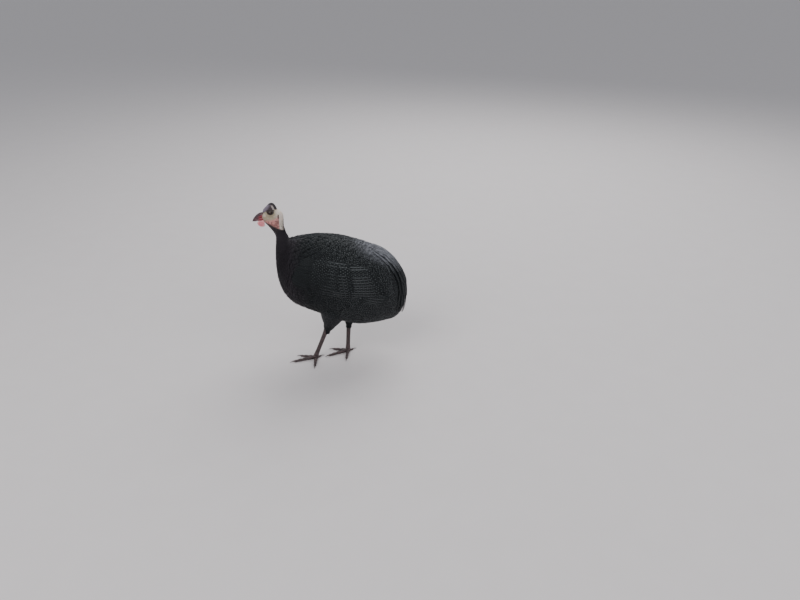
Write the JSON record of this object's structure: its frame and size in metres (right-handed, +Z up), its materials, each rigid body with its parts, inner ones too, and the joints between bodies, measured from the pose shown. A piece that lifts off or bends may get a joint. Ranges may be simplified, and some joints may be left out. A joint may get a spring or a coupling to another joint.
{
  "type": "helmeted guinea fowl, still life-size model",
  "caption": "Life-size standing helmeted guinea fowl in mid step, with folded wings, drooping tail, bony casque, wattles and bare head.",
  "frame": {"origin": "middle of the bounding box at floor level, below the body", "axes": "+Z up, -X forward to the bill, -Y to the bird's left side, which the picture shows"},
  "size_m": [0.3746, 0.1948, 0.4243],
  "materials": {
    "plumage": "charcoal feathers with fine white dots",
    "neck_plumage": "plain dark purplish feathers",
    "head_skin": "bare pale skin, pink at the cheek",
    "horn": "dark brown bony casque",
    "bill": "red base, dark horn tip",
    "wattle": "pink-red folded skin",
    "eye": "dark, wet",
    "flight_feathers": "dark vanes with white dots and bars",
    "leg_scales": "dark reddish-brown scutes",
    "claw": "dark claw"
  },
  "bodies": {
    "root": {"torso": "plumage", "neck": "neck_plumage", "head": "head_skin", "casque": "horn", "bill_upper": "bill", "bill_lower": "bill", "wattle_left": "wattle", "wattle_right": "wattle", "eye_left": "eye", "eye_right": "eye", "wing_left": "flight_feathers", "wing_right": "flight_feathers", "tail": "flight_feathers", "thigh_left": "plumage", "thigh_right": "plumage", "shank_left": "leg_scales", "shank_right": "leg_scales", "foot_left": "leg_scales", "foot_right": "leg_scales", "claw_left_1": "claw", "claw_left_2": "claw", "claw_left_3": "claw", "claw_left_4": "claw", "claw_right_1": "claw", "claw_right_2": "claw", "claw_right_3": "claw", "claw_right_4": "claw"}
  },
  "joints": []
}
